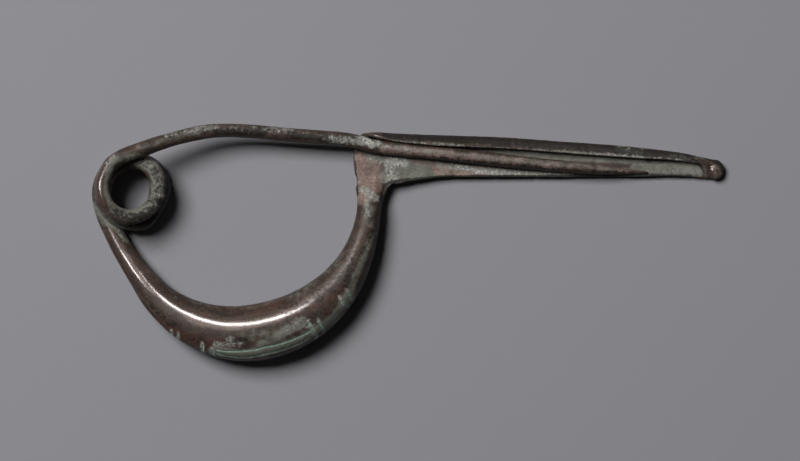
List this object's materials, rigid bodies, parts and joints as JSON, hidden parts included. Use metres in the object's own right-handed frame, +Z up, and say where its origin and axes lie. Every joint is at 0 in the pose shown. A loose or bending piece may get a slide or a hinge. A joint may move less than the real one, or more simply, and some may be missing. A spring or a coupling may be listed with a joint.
{
  "type": "fibula brooch",
  "caption": "Ancient bronze dress brooch: swollen crescent bow, one-sided spring coil, and a long pin lying in the folded trough of its foot.",
  "frame": {"origin": "centre of the footprint, on the surface that the brooch lies on", "axes": "+X along the foot from the spring coil to the knob, +Y from the bow's belly to the pin, +Z up from the surface that the brooch lies on"},
  "size_m": [0.1059, 0.0396, 0.0089],
  "materials": {
    "bronze": "ancient tin bronze with a smooth dark brown patina, pale green verdigris and fine pitting"
  },
  "bodies": {
    "root": {"fibula": "bronze"}
  },
  "joints": []
}
